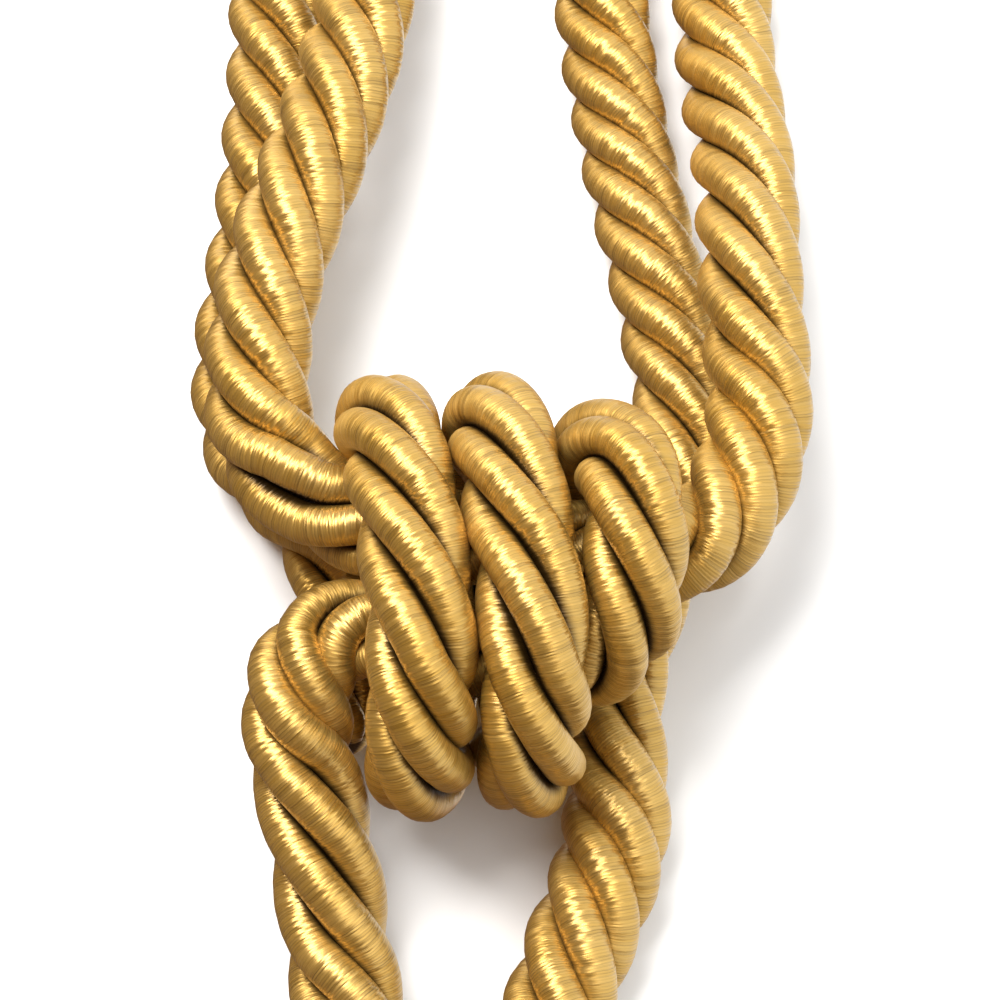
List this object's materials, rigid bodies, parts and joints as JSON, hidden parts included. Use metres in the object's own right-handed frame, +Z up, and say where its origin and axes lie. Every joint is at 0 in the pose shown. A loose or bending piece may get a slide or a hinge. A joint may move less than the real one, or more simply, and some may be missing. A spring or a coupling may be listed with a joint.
{
  "type": "knotted rope curtain tieback",
  "caption": "Thick gold twisted rope curtain tieback with hooking loops, a wrapped knot and a plain tail loop.",
  "frame": {"origin": "middle of the underside of the whole tieback as it lies", "axes": "+Z up from the surface it lies on, +Y from the knot towards the hooking loops, X across"},
  "size_m": [0.1389, 0.5263, 0.0619],
  "materials": {
    "gold_yarn": "silky wound yarn over a soft core, twisted in strands"
  },
  "bodies": {
    "root": {"tieback_rope": "gold_yarn"}
  },
  "joints": []
}
